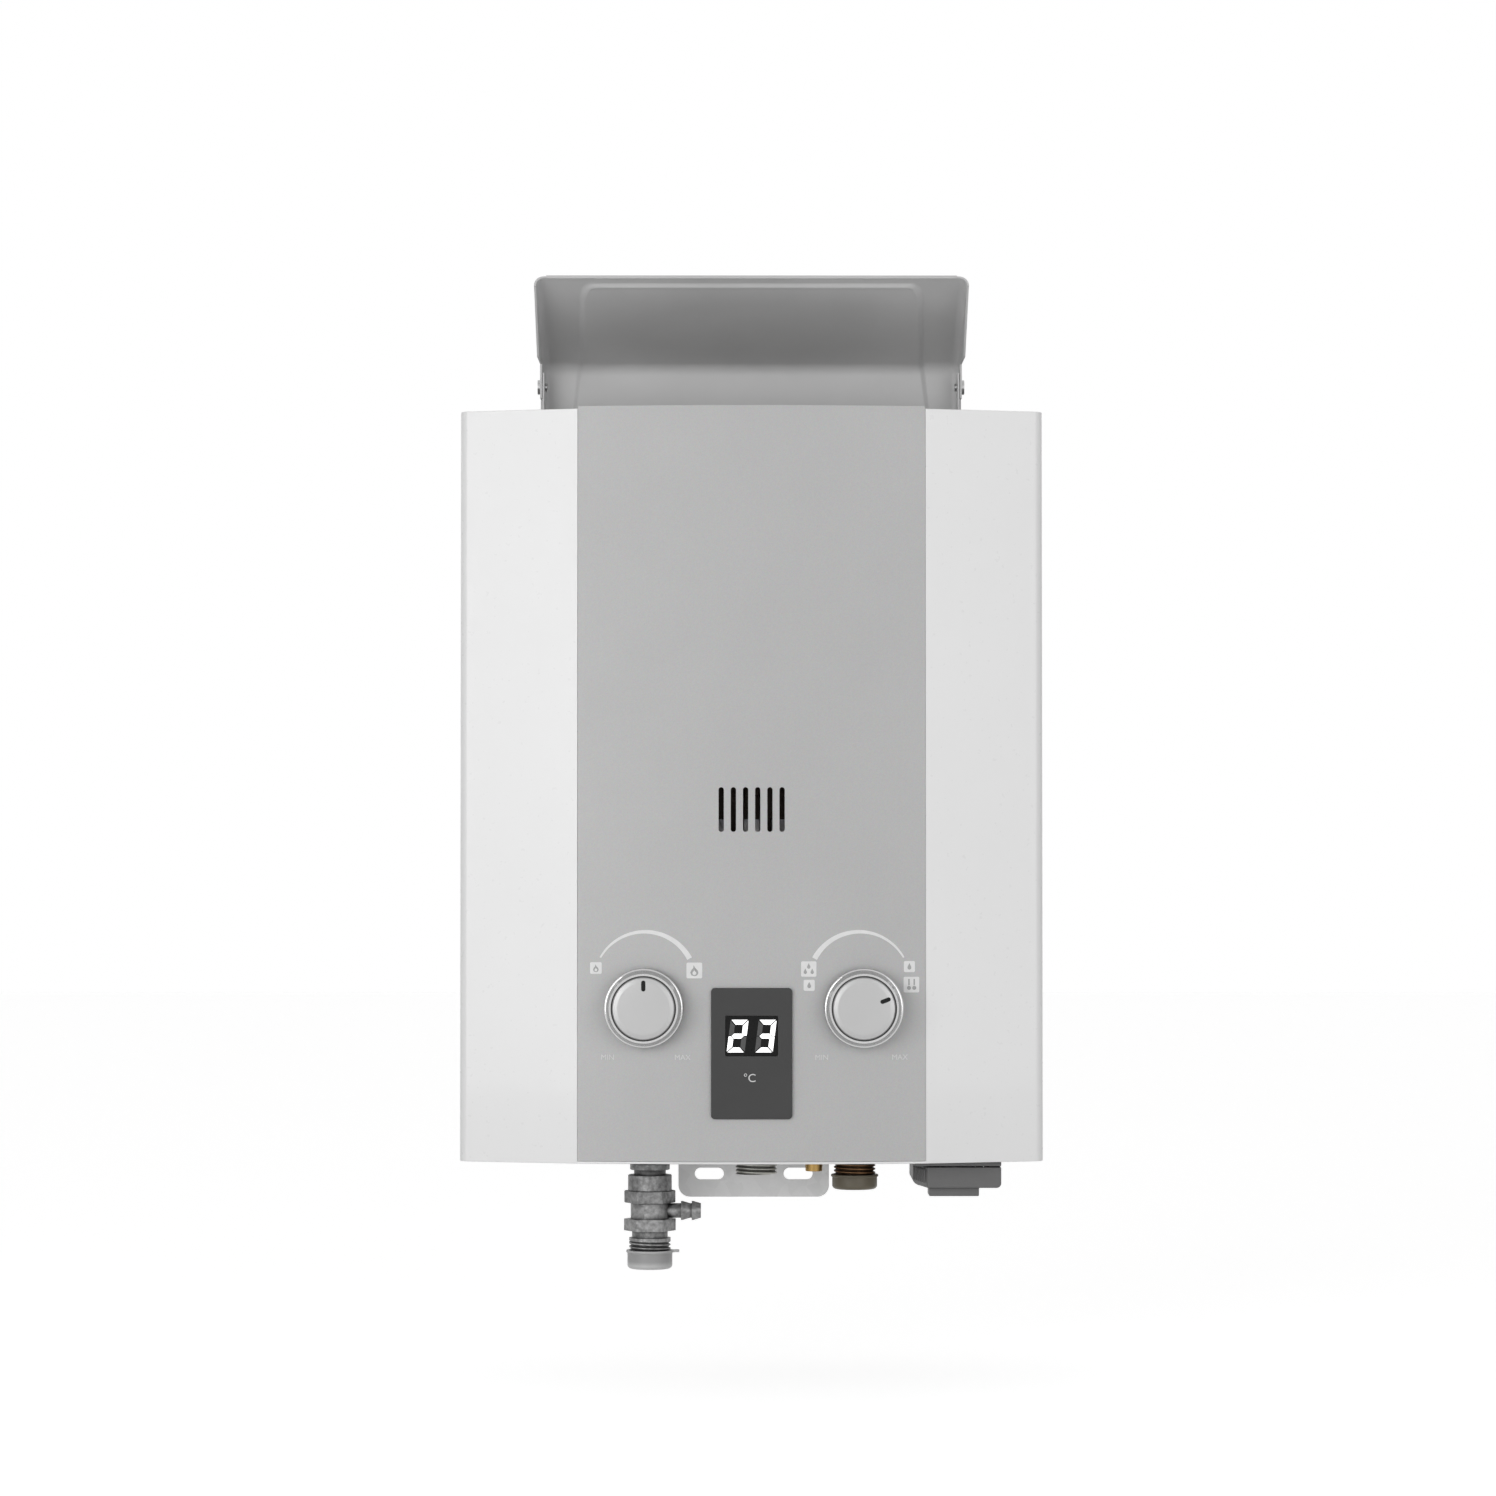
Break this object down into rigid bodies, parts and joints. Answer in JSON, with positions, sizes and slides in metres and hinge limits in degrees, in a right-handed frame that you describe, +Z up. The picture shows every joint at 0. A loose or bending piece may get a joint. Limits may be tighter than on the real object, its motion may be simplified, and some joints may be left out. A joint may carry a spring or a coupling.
{
  "type": "tankless gas water heater",
  "caption": "Wall-hung instant gas water heater: white casing with a bowed silver fascia, gas and water knobs, LED thermometer, rain cap on top, pipe ports and battery drawer below.",
  "frame": {"origin": "on the wall face of the back plate, in the middle, level with the casing's bottom edge", "axes": "+X to the viewer's right, +Y into the wall (the front faces -Y), +Z up"},
  "size_m": [0.29, 0.1356, 0.497],
  "materials": {
    "enamel_white": "gloss enamel",
    "fascia_silver": "satin silver",
    "galvanised": "zinc coated sheet",
    "cap_gray": "satin gray",
    "screw_zinc": "bright zinc",
    "bezel_gray": "fine grain",
    "led_black": "dark filter",
    "led_lit": "glowing",
    "led_dark": "unlit",
    "board_green": "solder mask",
    "knob_satin": "satin silver",
    "knob_chrome": "plated",
    "mark_black": "ink",
    "spindle_steel": "turned",
    "copper": "drawn copper",
    "burner_steel": "heat tinted",
    "cast_aluminium": "as cast",
    "ceramic_white": "glazed ceramic",
    "black_plastic": "moulded",
    "contact_steel": "nickel plated",
    "brass_cast": "dull brass",
    "gas_nipple": "passivated zinc",
    "fitting_gray": "dull nickel",
    "port_cap_clear": "translucent",
    "battery_gray": "fine grain",
    "cell_wrap": "printed sleeve, plain"
  },
  "bodies": {
    "casing": {"front_cover": "enamel_white", "fascia": "fascia_silver", "back_plate": "galvanised", "bottom_plate": "galvanised", "flue_collector": "galvanised", "chamber_brackets": "galvanised", "burner_frame": "galvanised", "rain_cap": "cap_gray", "rain_cap_collar": "cap_gray", "cover_screws": "screw_zinc", "rain_cap_screws": "screw_zinc", "valve_screws": "screw_zinc", "display_bezel": "bezel_gray", "led_module": "led_black", "led_segments_lit": "led_lit", "led_segments_dark": "led_dark", "display_board": "board_green", "hinge_pin": "spindle_steel", "combustion_chamber": "copper", "fin_pack": "copper", "exchanger_tubes": "copper", "cold_pipe": "copper", "hot_pipe": "copper", "burner_bars": "burner_steel", "gas_valve": "cast_aluminium", "gas_manifold": "cast_aluminium", "gas_riser": "cast_aluminium", "ignition_electrode": "ceramic_white", "flame_sensor": "ceramic_white", "microswitch": "black_plastic", "overheat_switch": "black_plastic", "igniter_module": "black_plastic", "outlet_probe": "black_plastic", "cell_contacts": "contact_steel", "water_valve": "brass_cast", "water_valve_cover": "brass_cast", "drain_plug": "brass_cast", "cold_inlet": "brass_cast", "gas_inlet": "gas_nipple", "outlet_stub": "fitting_gray", "outlet_union": "fitting_gray", "relief_valve": "fitting_gray", "battery_box": "battery_gray", "cells": "cell_wrap"},
    "gas_knob": {"gas_knob": "knob_satin", "gas_knob_skirt": "knob_chrome", "gas_knob_pointer": "mark_black", "gas_spindle": "spindle_steel"},
    "water_knob": {"water_knob": "knob_satin", "water_knob_skirt": "knob_chrome", "water_knob_pointer": "mark_black", "water_spindle": "spindle_steel"},
    "battery_door": {"battery_door": "battery_gray", "door_contact": "contact_steel"},
    "outlet_cap": {"outlet_cap": "port_cap_clear"},
    "inlet_cap": {"inlet_cap": "port_cap_clear"},
    "push_rod": {"push_rod": "spindle_steel"},
    "microswitch_lever": {"microswitch_lever": "contact_steel"}
  },
  "joints": [
    {"name": "gas_knob_turn", "type": "hinge", "parent": "casing", "child": "gas_knob", "pos_m": [-0.053, -0.12, 0.077], "axis": [0, -1, 0], "range_deg": [-55, 55]},
    {"name": "water_knob_turn", "type": "hinge", "parent": "casing", "child": "water_knob", "pos_m": [0.055, -0.12, 0.077], "axis": [0, -1, 0], "range_deg": [0, 130]},
    {"name": "battery_door_swing", "type": "hinge", "parent": "casing", "child": "battery_door", "pos_m": [0.1015, -0.017, -0.0069], "axis": [1, 0, 0], "range_deg": [0, 92]},
    {"name": "outlet_cap_pull", "type": "slide", "parent": "casing", "child": "outlet_cap", "axis": [0, 0, -1], "range_m": [0, 0.03]},
    {"name": "inlet_cap_pull", "type": "slide", "parent": "casing", "child": "inlet_cap", "axis": [0, 0, -1], "range_m": [0, 0.03]},
    {"name": "push_rod_travel", "type": "slide", "parent": "casing", "child": "push_rod", "axis": [-1, 0, 0], "range_m": [0, 0.003], "stiffness_N_per_m": 150},
    {"name": "switch_lever_follow", "type": "hinge", "parent": "casing", "child": "microswitch_lever", "pos_m": [0.0226, -0.068, 0.102], "axis": [0, 1, 0], "range_deg": [0, 8]}
  ],
  "couplings": [
    {"joint": "switch_lever_follow", "follows": "push_rod_travel", "rad_per_m": 46}
  ]
}
